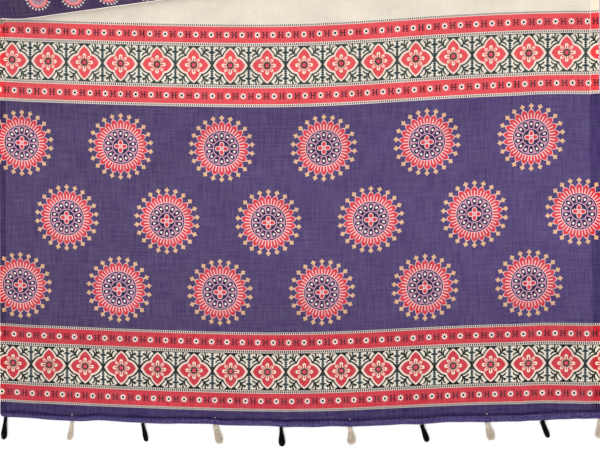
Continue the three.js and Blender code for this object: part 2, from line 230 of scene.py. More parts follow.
PUCKERS = {"tall": 0.34 * MM, "reach": 11 * MM}


def puckers(u, v):
    """Small ripples across the hem, in metres. They are never below 0."""
    x = u / MM
    ripple = np.sin(x * 0.31 + 1.3 * np.sin(x * 0.047)) * np.sin(x * 0.083 + 2.0)
    fine = np.sin(x * 0.77 + 2.1 * np.sin(x * 0.021)) * 0.5
    depth = np.exp(-np.abs(v - end - hem_depth(u)) / PUCKERS["reach"])
    return (np.clip(ripple + fine, -0.4, 1.5) + 0.4) * PUCKERS["tall"] * depth


# %% Rounded corners, and the lay of the cloth on the floor
def corner_inset(inwards, radius):
    """How far a rounded corner draws its edge in, at a distance inwards from the corner."""
    short = np.clip(radius - inwards, 0, radius)
    return radius - np.sqrt(radius**2 - short**2)


def round_corners(u, v):
    left = np.clip(1 - (u - left_edge) / corner_reach, 0, 1)
    right = np.clip(1 - (right_edge - u) / corner_reach, 0, 1)
    left_inset = corner_inset(v - end, end_corner["left"])
    right_inset = corner_inset(v - end, end_corner["right"])
    return u + left_inset * left - right_inset * right


def lay(u, v, height):
    """Points on the floor for cloth coordinates u, v, in metres."""
    u, v = np.broadcast_arrays(np.asarray(u, float), np.asarray(v, float))
    z = lift(u, v, FOLDS) + lift(u, v, CREASES) + puckers(u, v) + height
    y = v + weft_rise(u, v) + drawn_in(u, v)
    return np.stack([round_corners(u, v), y, z], axis=-1)


# %% [markdown]
# ## Meshes from grids of points
# Every cloth piece here is a grid of points with a thickness. Writing the vertices, faces
# and UVs as arrays is quick, even for a hundred thousand points. The UV map carries u and v
# in metres, so a print drawn on it has real sizes and follows every crease.

# %% A sheet from a grid
def new_mesh(name, points, faces, uvs, region=None):
    """points: n x 3, faces: m x 4, uvs: n x 2 in metres, region: a material number a face."""
    mesh = bpy.data.meshes.new(name)
    mesh.vertices.add(len(points))
    mesh.vertices.foreach_set("co", np.ascontiguousarray(points, dtype=np.float32).ravel())
    mesh.loops.add(faces.size)
    mesh.loops.foreach_set("vertex_index", faces.ravel().astype(np.int32))
    mesh.polygons.add(len(faces))
    mesh.polygons.foreach_set("loop_start", np.arange(0, faces.size, 4, dtype=np.int32))
    mesh.polygons.foreach_set("use_smooth", np.ones(len(faces), dtype=bool))
    if region is not None:
        mesh.polygons.foreach_set("material_index", region.astype(np.int32))
    layer = mesh.uv_layers.new(name="cloth")
    layer.data.foreach_set("uv", uvs[faces.ravel()].astype(np.float32).ravel())
    mesh.update(calc_edges=True)
    return mesh


def grid_faces(rows, columns, first=0):
    """The quads of a grid whose points are numbered row by row, facing up."""
    a = first + (np.arange(rows - 1)[:, None] * columns + np.arange(columns - 1)[None, :]).ravel()
    return np.stack([a, a + 1, a + columns + 1, a + columns], axis=1)


def add_piece(name, mesh, materials):
    piece = bpy.data.objects.new(name, mesh)
    bpy.context.scene.collection.objects.link(piece)
    for material in materials:
        mesh.materials.append(material)
    return piece


# %% [markdown]
# A wall is a lower grid, an upper grid and one or more rings of points round the side between
# them. It is closed, so it can be exported and measured like the solid that it stands for.

# %% A closed wall from two grids
def rim_of(rows, columns):
    """The point numbers round a grid, anticlockwise seen from above."""
    near = np.arange(columns - 1)
    right = np.arange(rows - 1) * columns + columns - 1
    far = (rows - 1) * columns + np.arange(columns - 1, 0, -1)
    left = np.arange(rows - 1, 0, -1) * columns
    return np.concatenate([near, right, far, left])


def outward(points):
    """The direction out of a closed ring of points, in the floor plane."""
    along = np.roll(points, -1, axis=0) - np.roll(points, 1, axis=0)
    out = np.stack([along[:, 1], -along[:, 0], np.zeros(len(points))], axis=1)
    return out / np.linalg.norm(out, axis=1, keepdims=True)


def wall_mesh(name, lower, upper, uv, region=None, rings=((0.5, edge_round / MM),)):
    """A closed form between a lower and an upper grid. region numbers one grid's materials.

    Each ring round its side is a share of the height and how far out it lies, in millimetres.
    """
    rows, columns = upper.shape[:2]
    count = rows * columns
    low, high, flat_uv = lower.reshape(-1, 3), upper.reshape(-1, 3), uv.reshape(-1, 2)
    rim = rim_of(rows, columns)
    turn = np.roll(np.arange(len(rim)), -1)
    out = outward(high[rim])
    points, uvs = [high, low], [flat_uv, flat_uv]
    faces = [grid_faces(rows, columns), grid_faces(rows, columns, count)[:, ::-1]]
    below = rim + count
    for number, (share, reach) in enumerate(rings):
        level = low[rim] * (1 - share) + high[rim] * share
        points.append(level + out * np.reshape(reach, (-1, 1)) * MM)
        uvs.append(flat_uv[rim])
        ring = 2 * count + number * len(rim) + np.arange(len(rim))
        faces.append(np.stack([below, below[turn], ring[turn], ring], axis=1))
        below = ring
    faces.append(np.stack([below, below[turn], rim[turn], rim], axis=1))
    if region is not None:
        cell = region.reshape(-1)
        row, column = np.clip(rim // columns, 0, rows - 2), np.clip(rim % columns, 0, columns - 2)
        beside = row * (columns - 1) + column
        region = np.concatenate([cell, cell, *[cell[beside]] * (len(rings) + 1)])
    return new_mesh(name, np.concatenate(points), np.concatenate(faces), np.concatenate(uvs), region)


print("mesh helpers ready")

# %% [markdown]
# ## Shader maths
# The print is drawn with arithmetic: distances, repeats and soft edges. One small class
# wraps a shader socket, so the formulas below read as formulas and each operator adds the
# node it needs.

# %% The wire class
class Wire:
    """One value in a material's node tree. Arithmetic on it adds Math nodes."""

    def __init__(self, tree, socket=None):
        self.tree = tree
        self.socket = socket

    def node(self, kind, settings=None, values=None, out=0):
        """Adds a node: settings are its own fields, values its sockets' numbers or wires."""
        made = self.tree.nodes.new("ShaderNode" + kind)
        for field, value in (settings or {}).items():
            setattr(made, field, value)
        for key, value in (values or {}).items():
            if isinstance(value, Wire):
                self.tree.links.new(value.socket, made.inputs[key])
            else:
                made.inputs[key].default_value = value
        return Wire(self.tree, made.outputs[out] if made.outputs else None)

    def math(self, operation, *values, clamp=False):
        return self.node("Math", {"operation": operation, "use_clamp": clamp}, dict(enumerate(values)))

    def __add__(self, other):
        return self.math("ADD", self, other)

    __radd__ = __add__

    def __sub__(self, other):
        return self.math("SUBTRACT", self, other)

    def __rsub__(self, other):
        return self.math("SUBTRACT", other, self)

    def __mul__(self, other):
        return self.math("MULTIPLY", self, other)

    __rmul__ = __mul__

    def __truediv__(self, other):
        return self.math("DIVIDE", self, other)

    def __pow__(self, other):
        return self.math("POWER", self, other)

    def __abs__(self):
        return self.math("ABSOLUTE", self)

    def least(self, other):
        return self.math("MINIMUM", self, other)

    def most(self, other):
        return self.math("MAXIMUM", self, other)

    def sine(self):
        return self.math("SINE", self)


def length(x, y):
    """The distance of the point x, y from the origin."""
    return x.math("SQRT", x * x + y * y)


def repeat(x, pitch):
    """x measured from the middle of the nearest of a row of cells."""
    return x.math("FLOORED_MODULO", x + pitch / 2, pitch) - pitch / 2


def inside(depth, soft=0.35):
    """1 where depth is positive and 0 where it is negative, with an edge soft wide."""
    return depth.math("MULTIPLY_ADD", depth, 1 / soft, 0.5, clamp=True)


def paint(under, over, mask):
    """The colour over laid on the colour under, where mask is 1."""
    return mask.node("Mix", {"data_type": "RGBA"}, {0: mask, 6: under, 7: over}, 2)


def union(*depths):
    """Several shapes as one: how far inside the nearest of them the point is."""
    deepest = depths[0]
    for depth in depths[1:]:
        deepest = deepest.most(depth)
    return deepest


def ramp(x, start, stop, low, high, kind="SMOOTHSTEP"):
    """low where x is at start and high where it is at stop, and level beyond both."""
    ends = {"From Min": start, "From Max": stop, "To Min": low, "To Max": high}
    return x.node("MapRange", {"interpolation_type": kind}, {"Value": x, **ends})


def new_material(name):
    """A material with no nodes yet, and a wire to start them from."""
    material = bpy.data.materials.new(name)
    material.use_nodes = True
    material.node_tree.nodes.clear()
    return material, Wire(material.node_tree)


STUDIO = 1.3  # how bright the studio's light is on a flat sheet


def dye(red, green, blue):
    """The share of light that a dye reflects, from how it looks on a screen, 0 to 255."""
    share = [value / 255 for value in (red, green, blue)]
    linear = [s / 12.92 if s < 0.04045 else ((s + 0.055) / 1.055) ** 2.4 for s in share]
    return (*(value / STUDIO for value in linear), 1.0)


print("shader helpers ready")

# %% [markdown]
# ## The weave
# Cotton linen is a plain weave of uneven yarns. Each yarn has thick and thin places, called
# slubs, so the cloth shows faint lines both ways. Three stretched noises give the slubs and
# the cloudy dye, and shade the colour a little. The slubs, the thread crossings and a fourth,
# broader noise feed the bump.

# %% Cloth material from a print
YARN = 0.62  # mm from one yarn to the next
HEM_CONTRAST = 1.3  # how much more contrast the side hems' colours get: painted light, for less of the pale sheen that lies over the spread cloth


def slub(x, y, along, across, seed):
    """Uneven yarns that run along the first direction, from about -0.5 to 0.5."""
    place = x.node("CombineXYZ", None, {0: x * along, 1: y * across, 2: seed})
    grain = place.node("TexNoise", None, {"Vector": place, "Scale": 1.0, "Detail": 3.0})
    return grain - 0.5


def painted_light_falloff(x, y):
    """Painted light: how much lighter the cloth is drawn in its middle, and darker towards the end, the
    far end and the left selvedge, where the studio light falls off.
    """
    low = ramp(y, -235.0, 10.0, 0.92, 1.1)
    high = ramp(y, 130.0, 260.0, 1.0, 0.9)
    left = ramp(x, -560.0, -300.0, 0.94, 1.0)
    return low * high * left


def cloth_material(name, pattern, deep=False, rough=0.88):
    """A woven cloth whose colour is pattern(x, y), from wires in millimetres of the cloth."""
    material, start = new_material(name)
    place = start.node("UVMap", {"uv_map": "cloth"})
    across = place.node("SeparateXYZ", None, {0: place})
    along = Wire(start.tree, across.socket.node.outputs[1])
    x = across * (1 / MM)
    y = along * (1 / MM)
    colour = pattern(x, y)
    weft = slub(x, y, 0.022, 0.3, 3.0)
    warp = slub(x, y, 0.3, 0.022, 8.0)
    cloud = slub(x, y, 0.011, 0.016, 5.0)
    # The cloud is the dye's own uneven tone. The falloff it is multiplied by is painted light.
    shade = (cloud * 0.4 + 1.0) * painted_light_falloff(x, y)
    fuzz = (weft * 0.8 + warp) * 0.075
    colour = colour.node("VectorMath", {"operation": "MULTIPLY_ADD"}, {0: colour, 1: shade, 2: fuzz})
    # Painted light: deep gives the colour more contrast, as if the pale sheen on the rest of the cloth
    # were left off.
    if deep:
        colour = colour.node("Gamma", None, {"Color": colour, "Gamma": HEM_CONTRAST})
        colour = colour.node("VectorMath", {"operation": "SCALE"}, {0: colour, "Scale": HEM_CONTRAST})
    crossing = (x * (TURN / YARN)).sine() * (y * (TURN / YARN)).sine()
    height = crossing * 0.05 + (weft + warp) * 0.5 + slub(x, y, 0.07, 0.07, 1.0) * 1.2
    bump = height.node("Bump", None, {"Strength": 0.6, "Distance": 0.5 * MM, "Height": height})
    values = {"Base Color": colour, "Roughness": rough, "Normal": bump, "Specular IOR Level": 0.2}
    shader = colour.node("BsdfPrincipled", None, {**values, "Sheen Weight": 0.12, "Sheen Roughness": 0.5})
    shader.node("OutputMaterial", None, {0: shader})
    return material


# %% [markdown]
# ## The dyes
# The print has few colours: a violet navy ground, coral red, cream, a pink outline, mustard
# gold and a dark green that is nearly black. A maker prints each one over the last.

# %% Dyes
NAVY = dye(81, 65, 105)
NAVY_LIT_RIGHT = dye(84, 68, 116)
# HEM_NAVY and the END_ dyes, by the end, are darker than the same print further up: partly a deeper
# print, partly painted shade where the light falls off towards the end.
HEM_NAVY = dye(63, 49, 95)
BORDER_NAVY = dye(66, 50, 83)
CREAM = dye(232, 221, 204)
CORAL = dye(234, 83, 90)
END_CORAL = dye(212, 63, 76)
PETAL = dye(212, 66, 76)
PINK = dye(252, 208, 208)
ROSE = dye(208, 126, 146)
LILAC = dye(222, 172, 196)
WHITE = dye(253, 240, 228)
END_WHITE = dye(247, 234, 222)
STAR_WHITE = dye(255, 246, 236)
GOLD = dye(226, 182, 142)
OUTLINE = dye(248, 222, 208)
INK = dye(56, 68, 64)
END_INK = dye(20, 32, 30)
BLACK = dye(26, 26, 26)
POLE_INK = dye(46, 66, 72)
RING = dye(72, 62, 48)
TILE_EYE = dye(224, 76, 104)
TILE_CREAM = dye(240, 231, 214)
PETAL_CREAM = dye(254, 232, 212)
INDIGO = dye(50, 40, 74)
# Painted shadow by the end hem's inner edge, on the navy strip and on the roll.
SEAM_SHADOW = dye(38, 26, 78)
ROLL_DARK = dye(38, 25, 78)
ROLL_LIGHT = dye(114, 98, 158)
BROWN = dye(84, 42, 54)

# %% [markdown]
# ## The medallion
# A round flower with 22 petals, a gold bud on a thin stalk outside each one, a ring of 14
# drops and a small cross in the middle. It is symmetric about a point, so it is drawn once in
# one slice: the angle is folded into a slice, and distances inside it shape the petal.

# %% The medallion, drawn in slices
PETALS = 22
DROPS = 14
OUTER_DISCS = [(PINK, 34.3), (INDIGO, 33.4), (LILAC, 30.9), (ROSE, 29.9)]
INNER_DISCS = [(INDIGO, 17.5), (LILAC, 16.4), (INDIGO, 15.0)]


def discs(colour, table, r, soft):
    """Lays one disc on the other, the largest first. A row is a dye and a radius."""
    for over, radius in table:
        colour = paint(colour, over, inside(radius - r, soft))
    return colour


def buds(slice_x, r, soft):
    """Gold buds: a tapered body with a lobe on each side and a small one on top."""
    side = 1.6 - length(abs(slice_x) - 3.0, r - 58.2)
    top = 1.6 - length(slice_x, r - 61.0)
    body = (3.6 - abs(r - 57.2) * 0.62 - abs(slice_x)).least(61 - r)
    stalk = (0.6 - abs(slice_x)).least(60 - r)
    return inside(union(side, top, body, stalk), soft)


def petal_ring(colour, turn, r, soft):
    cell = repeat(turn, 1 / PETALS)
    slice_x = cell * r * TURN
    share = abs(cell) * (2 * PETALS)
    rim = 52.0 - 8.2 * share * share
    colour = paint(colour, PINK, inside(rim - r, soft))
    beside = (1 - share) * r * (math.pi / PETALS)
    colour = paint(colour, PETAL, inside((rim - r - 1.35).least(beside - 0.75), soft))
    finger = (0.95 - abs(slice_x)).least(43.6 - r)
    return paint(colour, PINK, inside(finger, soft))


def drop_ring(colour, turn, r, soft):
    slice_x = repeat(turn, 1 / DROPS) * r * TURN
    reach = (r - 23.4) * (1 / 6.2)
    across = slice_x * (1 / 4.1) * (1.12 - reach * 0.24)
    egg = length(across, reach)
    colour = paint(colour, LILAC, inside((1.36 - egg) * 4, soft))
    colour = paint(colour, INDIGO, inside((1.16 - egg) * 4, soft))
    return paint(colour, WHITE, inside(2.0 - length(slice_x, (r - 24.4) * 0.85), soft))


def cross_flower(colour, turn, r, soft):
    angle = repeat(turn, 1 / 4) * TURN
    out = angle.math("COSINE", angle) * r
    petal = length(angle.sine() * r, (out - 7.2) * 0.86)
    colour = paint(colour, PINK, inside(4.8 - petal, soft))
    colour = paint(colour, PETAL, inside(3.5 - petal, soft))
    return paint(colour, PINK, inside(1.2 - r, soft))


def medallion(x, y, size, ground, bud):
    """The whole motif over its ground. x and y are in millimetres from its middle."""
    soft = 0.5 / size
    r = length(x, y) / size
    turn = x.math("ARCTAN2", x, y) / TURN
    colour = paint(ground, bud, buds(repeat(turn, 1 / PETALS) * r * TURN, r, soft))
    colour = petal_ring(colour, turn, r, soft)
    colour = discs(colour, OUTER_DISCS, r, soft)
    colour = drop_ring(colour, turn, r, soft)
    colour = discs(colour, INNER_DISCS, r, soft)
    return cross_flower(colour, turn, r, soft)


# %% [markdown]
# ## The field
# Three rows of medallions, each row half a step along from the next. Two masks choose the
# row, and its middle is added up from them, so the medallion itself is drawn only once.

# %% The field's print
PITCH = 191.9
ROW_TOP = {"u": -521.0, "v": 143.4}
ROW_MIDDLE = {"u": -433.2, "v": 5.5}
ROW_LOW = {"u": -524.5, "v": -126.3}


def field_print(x, y):
    top = inside(y - (ROW_TOP["v"] + ROW_MIDDLE["v"]) / 2, 0.01)
    low = inside((ROW_LOW["v"] + ROW_MIDDLE["v"]) / 2 - y, 0.01)
    middle = {}
    for axis in ("u", "v"):
        base = ROW_MIDDLE[axis]
        middle[axis] = top * (ROW_TOP[axis] - base) + low * (ROW_LOW[axis] - base) + base
    # Painted light: the ground turns bluer and a little lighter towards the right, where the light on the
    # cloth is stronger.
    ground = paint(NAVY, NAVY_LIT_RIGHT, inside(x - 60, 900))
    x = x - ramp(x, -410.0, -520.0, 0.0, 2.6, "LINEAR")  # the print is pulled a little here
    return medallion(repeat(x - middle["u"], PITCH), y - middle["v"], 1.0, ground, GOLD)


# %% [markdown]
# ## The band
# A printed band has a row of tiles between two coral strips, with dotted lines between them.
# It mirrors about its middle line, so only half of it is drawn. Both bands are the same print. The upper
# one is stretched a little more as the cloth gives. The lower one is drawn in darker dyes: partly a
# deeper print, partly painted shade where the light falls off towards the end.

# %% The tile's flower and its frame
TILE = 69.32
TILE_HALF = 35.0
LINE = 5.5
STRIP = 29.2
INNER_LINE = TILE_HALF + LINE / 2
STRIP_MIDDLE = TILE_HALF + LINE + STRIP / 2
STRIP_END = TILE_HALF + LINE + STRIP


def wide_lobe(x, y, grow):
    """How far inside the side lobe of the quatrefoil the point is, across it."""
    return (1 - ((x - 10) / (17.6 + 1.5 * grow)) ** 2.7) * (12.6 + grow) - y


def quatrefoil(x, y, grow):
    """Four pointed lobes, positive inside. x and y are positive."""
    tall = (1 - ((y - 11) / (17.9 + 1.06 * grow)) ** 2.1) * (11.2 + grow) - x
    return tall.most(wide_lobe(x, y, grow))


def stroke(x, y, start_x, start_y, end_x, end_y, half, bend):
    """How far inside a brush stroke the point is. bend bows it to its left."""
    across, up = end_x - start_x, end_y - start_y
    long = math.hypot(across, up)
    from_x, from_y = x - start_x, y - start_y
    along = from_x * (across / long) + from_y * (up / long)
    aside = from_y * (across / long) - from_x * (up / long) - along * (long - along) * bend
    return (half - abs(aside)).least(along).least(long - along)


SPRIG = [
    # start x, start y, end x, end y, half width, bend: the stem, then its four leaves
    (14.6, 16.6, 26.8, 29.8, 1.45, 0.0),
    (17.6, 19.6, 13.6, 31.6, 1.55, -0.06),
    (17.6, 20.6, 28.4, 15.4, 1.5, 0.065),
    (21.0, 24.0, 20.2, 33.4, 1.4, -0.04),
    (21.4, 24.6, 29.2, 26.6, 1.35, 0.04),
]


def corner_leaves(x, y):
    """A sprig in the notch between two lobes: a stem with two bowed leaves on each side."""
    return inside(union(*(stroke(x, y, *row) for row in SPRIG)), 0.5)


def pole(x, y):
    """The serrated stem between two tiles, with its cross leaf. x is from the tile's edge."""
    teeth = 1.7 - abs(repeat(y, 3.6)) * 1.5
    stem = (2.0 + teeth).least(1.5 + y * 0.26) - x
    leaf = 3.4 - x * 0.44 - abs(y - 23.1)
    return inside(stem.most(leaf), 0.5)


def edge_teeth(x, y):
    """Small dark teeth and wedges along the tile row's edge. x is from the tile's edge."""
    deep = TILE_HALF - y
    teeth = 2.6 - abs(repeat(x, TILE / 15)) * 0.9 - deep
    wedge = (1 - abs(x - 28.6) / 8.0 - deep / 7.0) * 3
    spike = (1 - abs(x - 13.8) / 2.4 - deep / 8.0) * 1.8
    return inside(union(teeth, wedge, spike))


def tile_flower(colour, x, y, coral):
    """Eight looped petals round a dark ring. The upright ones have rounder heads."""
    r = length(x, y)
    turn = x.math("ARCTAN2", y, x) / TURN
    petal = repeat(turn, 1 / 8) * TURN
    straight = inside(petal.math("COSINE", turn * (4 * TURN)), 0.2)
    out = petal.math("COSINE", petal) * r
    across = petal.sine() * r
    head = length(across, (out - 12.3).most(0.0))
    wide = (1.9 + straight * 0.6) * (out * 0.075 + 0.1) + 0.75
    colour = paint(colour, PETAL_CREAM, inside(wide - head))
    slot = length(across, (out - 12.0).most(0.0))
    colour = paint(colour, coral, inside(1.05 - slot))
    colour = paint(colour, RING, inside(7.1 + 0.8 * x.math("COSINE", turn * (16 * TURN)) - r))
    return paint(colour, TILE_EYE, inside(3.7 - r))


def tile_row(x, y, coral, ink):
    """x is from the nearest tile's middle, and both are positive."""
    colour = paint(TILE_CREAM, ink, corner_leaves(x, y))
    colour = paint(colour, POLE_INK, pole(TILE / 2 - x, y))
    colour = paint(colour, ink, edge_teeth(TILE / 2 - x, y))
    colour = paint(colour, ink, inside(quatrefoil(x, y, 5.9)))
    colour = paint(colour, OUTLINE, inside(quatrefoil(x, y, 3.3)))
    colour = paint(colour, coral, inside(quatrefoil(x, y, 0.0)))
    return tile_flower(colour, x, y, coral)


# %% [markdown]
# The strips carry white star flowers, each with a dark eye, and between them a small dark
# figure like two brackets back to back. A dotted line is white with dark dots.

# %% The coral strips, the dotted lines and the whole band
FLOWER_PITCH = 29.07
DOT_PITCH = 3.85
DOT_HALF = 1.08


def strip(colour, x, y):
    """x is from the nearest flower's middle, y from the strip's middle line."""
    r = length(x, y)
    turn = x.math("ARCTAN2", y, x)
    star = 4.7 + 1.2 * x.math("COSINE", turn * 8) - r
    colour = paint(colour, STAR_WHITE, inside(star))
    colour = paint(colour, BLACK, inside(2.3 - r))
    beside = FLOWER_PITCH / 2 - abs(x)
    high = abs(y)
    upright = (1.1 - abs(beside - 2.5 - high * high * 0.02)).least(5.9 - high)
    arm = (0.85 - abs(high - 4.6)).least(6.2 - beside).least(beside - 1.6)
    bar = (0.8 - high).least(6.4 - beside)
    return paint(colour, BROWN, inside(union(upright, arm, bar), 0.6))


def dotted_lines(colour, x, y, outer, white, dots):
    """y is from the band's middle line, and positive. dots is how large the dots came out."""
    for middle, wide in ((INNER_LINE, LINE), (STRIP_END + outer / 2, outer)):
        near = abs(y - middle)
        colour = paint(colour, white, inside(wide / 2 - near))
        dot = (DOT_HALF * dots - abs(repeat(x, DOT_PITCH))).least(wide / 3 * dots - near)
        colour = paint(colour, BLACK, inside(dot))
    return colour


def band_print(middle, stretch, outer, dots, coral, ink, white, tile_first, flowers_above, flowers_below):
    """The print of one band. Every place is in millimetres of the cloth."""

    def pattern(x, y):
        across = (y - middle) / stretch
        above = inside(across, 0.01)
        y_half = abs(across)
        x_tile = abs(repeat(x - tile_first, TILE))
        colour = tile_row(x_tile, y_half, coral, ink)
        colour = paint(colour, coral, inside(y_half - TILE_HALF, 0.1))
        first = above * (flowers_above - flowers_below) + flowers_below
        colour = strip(colour, repeat(x - first, FLOWER_PITCH), y_half - STRIP_MIDDLE)
        return dotted_lines(colour, x, y_half, outer, white, dots)

    return pattern


BAND_LOW = {"middle": -274.8, "stretch": 1.0, "outer": 4.3, "dots": 1.12}
BAND_HIGH = {"middle": 299.5, "stretch": 1.04, "outer": 5.0, "dots": 1.0}
# The lower band's dyes are partly a deeper print and partly painted shade, where the light falls off
# towards the end.
LOW_DYES = {"coral": END_CORAL, "ink": END_INK, "white": END_WHITE}
HIGH_DYES = {"coral": CORAL, "ink": INK, "white": WHITE}
low_band_print = band_print(
    **BAND_LOW, **LOW_DYES, tile_first=-536.4, flowers_above=-302.0, flowers_below=-325.2
)
high_band_print = band_print(
    **BAND_HIGH, **HIGH_DYES, tile_first=-536.8, flowers_above=-534.9, flowers_below=-532.7
)

# %% [markdown]
# ## Cloth materials
# The spread cloth has five prints along it, and each has its own stretch of faces, so one material stays
# small. The turned side hems are two layers thick. They have the same five prints once more with more
# contrast, darker darks and paler lights: painted light, as the pale sheen that lies over the spread
# cloth is left off them.

# %% The spread cloth's materials
def plain(colour):
    """A pattern of one dye, with threads that took it a little lighter or darker."""

    def pattern(x, y):
        fleck = slub(x, y, 0.05, 1.6, 11.0)
        light = tuple(min(value * 1.12, 1.0) for value in colour[:3]) + (1.0,)
        return paint(colour, light, inside(fleck, 0.3))

    return pattern


def past_seam(x, y):
    """How far past the end hem's inner edge a point is, in millimetres."""
    share = (x - left_edge / MM) * (MM / (right_edge - left_edge))
    depth = share * ((HEM_LINE["right"] - HEM_LINE["left"]) / MM) + HEM_LINE["left"] / MM
    return y - end / MM - depth


def seam_print(x, y):
    """The navy by the hem, with painted shadow along the seam, where the rolled hem stands over the
    cloth.
    """
    colour = plain(HEM_NAVY)(x, y)
    return paint(colour, SEAM_SHADOW, inside(2.2 - past_seam(x, y), 4.5))


PRINTS = {
    "navy_strip": seam_print,
    "low_band": low_band_print,
    "field": field_print,
    "high_band": high_band_print,
    "cream_end": plain(CREAM),
}
cloth = [cloth_material(name, pattern) for name, pattern in PRINTS.items()]
hem_contrast_cloth = [cloth_material(f"hem_{name}", pattern, deep=True) for name, pattern in PRINTS.items()]
print("cloth materials:", len(cloth) + len(hem_contrast_cloth))

# %% [markdown]
# ## The spread cloth
# Its rows stop exactly where one print ends and the next begins. The last rows run on
# under the folded packet, along a line parallel to the packet's near edge.

# %% The packet's place, needed for the rows that run under it
PACKET = {"left": -565, "near": 382.7, "turn": math.radians(7.27), "length": 1150, "depth": 566.5}
PACKET_CORNER = 14
UNDERLAP = 95
LIP = {"near": 1.6, "folded": 3.2, "drop": 1.0, "air": 0.48}
cosine, sine = math.cos(PACKET["turn"]), math.sin(PACKET["turn"])


def packet_line(u, q):
    """v in mm where the packet's near edge, moved out by q, crosses the line X = u."""
    p = (u - PACKET["left"] + q * sine) / cosine
    y = PACKET["near"] + p * sine + q * cosine
    return y - weft_rise(u * MM, y * MM) / MM


def steps(start, stop, size):
    """Even steps from start up to, but not including, stop."""
    return np.linspace(start, stop, max(round(abs(stop - start) / size), 1), endpoint=False)


# %% The pallu
def band_edges(band):
    half = (STRIP_END + band["outer"]) * band["stretch"]
    return band["middle"] - half, band["middle"] + half


END_MM = end / MM
PRINT_EDGES = [END_MM, *band_edges(BAND_LOW), *band_edges(BAND_HIGH)]
LAST_ROW = 379
PALE_PRINTS = 3  # the high band and the cream end, where the right hem has a pale thread and a lilac-grey strip


def cloth_rows(size, first=END_MM):
    """Rows in mm up to the last straight one, and which print each strip between has."""
    edges = [max(edge, first) for edge in PRINT_EDGES] + [LAST_ROW]
    rows, prints = [], []
    for number, (low, high) in enumerate(zip(edges, edges[1:])):
        if high - low < 0.01:
            continue
        part = steps(low, high, size)
        rows.extend(part)
        prints.extend([number] * len(part))
    return np.array(rows + [LAST_ROW]), prints


def cloth_grid(columns, rows, stop, extra):
    """u and v in metres: straight rows, then extra rows on to the line stop(u)."""
    u = np.broadcast_to(columns, (len(rows) + len(extra), len(columns)))
    straight = np.broadcast_to(rows[:, None], (len(rows), len(columns)))
    beyond = LAST_ROW + (stop(columns)[None, :] - LAST_ROW) * np.array(extra)[:, None]
    return u * MM, np.concatenate([straight, beyond]) * MM


def add_cloth(
    name, columns, size, height, thick, materials, stop, extra, first=END_MM, fit=None, edges=None
):
    """A closed sheet on the cloth's grid: height is under it, thick is its own.

    size is the step between rows, stop(u) the line where the cloth ends, and extra the shares
    of the way there from the last straight row. fit moves columns, and edges numbers the
    materials of single columns. columns, size, stop and first are in millimetres.
    """
    rows, prints = cloth_rows(size, first)
    u, v = cloth_grid(columns, rows, stop, extra)
    u = fit(u, v) if fit else u
    prints = prints + [len(PRINTS) - 1] * len(extra)
    region = np.repeat(np.array(prints)[:, None], len(columns) - 1, axis=1)
    for column, number in (edges or {}).items():
        region[region[:, column] >= PALE_PRINTS, column] = number
    thickness = np.broadcast_to(thick, u.shape)
    lower = lay(u, v, height)
    upper = lay(u, v, height + thickness)
    mesh = wall_mesh(name, lower, upper, np.stack([u, v], axis=-1), region)
    return add_piece(name, mesh, materials)


LEFT, RIGHT = left_edge / MM, right_edge / MM
pallu = add_cloth(
    "Pallu",
    np.linspace(LEFT, RIGHT, 216),
    size=4.0,
    height=0.0,
    thick=wall,
    materials=cloth,
    stop=lambda u: packet_line(u, UNDERLAP),
    extra=np.linspace(0, 1, 14)[1:],
)
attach(pallu, body)
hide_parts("pallu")
print("pallu triangles:", 2 * len(pallu.data.polygons))

# %% [markdown]
# ## The hems
# The end is rolled and sewn, so it is the thickest edge: a soft tube with a lumpy surface.
# The two selvedges are turned over once and lie flatter. Every hem's underside is the cloth's
# own grid, moved up by a small gap.

# %% The rolled hem along the tasselled end
ROLL = {"rows": 11, "columns": 480, "thin": 0.5, "loft": 1.9, "lumps": 0.28}


def hem_loft(u, share):
    """The roll's height in metres: round across it, lumpy along it."""
    x = u / MM
    lump = np.sin(x * 1.13 + 2 * np.sin(x * 0.13)) * np.sin(x * 0.41) + 0.6 * np.sin(x * 2.3 + share * 3)
    round_part = (1 - np.abs(2 * share - 1) ** 2.6) ** 0.6
    tall = ROLL["loft"] - ROLL["thin"] + ROLL["lumps"] * lump
    return (ROLL["thin"] + tall * round_part) * MM


hem_share = np.linspace(0, 1, ROLL["rows"])[:, None]
hem_u = np.tile(np.linspace(left_edge, right_edge, ROLL["columns"]), (ROLL["rows"], 1))
hem_v = end + hem_share * hem_depth(hem_u)
hem_lower = lay(hem_u, hem_v, wall + gap)
hem_upper = lay(hem_u, hem_v, wall + gap + hem_loft(hem_u, hem_share))
hem_mesh = wall_mesh("Hem_end", hem_lower, hem_upper, np.stack([hem_u, hem_v], axis=-1))


def roll_print(x, y):
    """Brighter violet threads, flecked, with painted shade where the roll's inner edge turns down."""
    fleck = slub(x, y, 0.5, 0.9, 21.0) + slub(x, y, 0.9, 0.25, 23.0)
    colour = paint(ROLL_DARK, ROLL_LIGHT, inside(fleck - 0.05, 0.26))
    return paint(colour, SEAM_SHADOW, inside(past_seam(x, y) + 2.4, 2.2))


hem_end = add_piece("Hem_end", hem_mesh, [cloth_material("rolled_hem", roll_print)])
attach(hem_end, body)
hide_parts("hem_end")

# %% The turned hems along the selvedges
SIDE_HEM = {"left": 10, "loft": 1.05, "thin": 0.5, "short": 2.2}
RIGHT_HEM = {"near": 18, "far": 26, "from": -380, "to": 250}  # it widens away from the end
HEM_GAP = 1.04  # mm between the rolled hem and a side hem


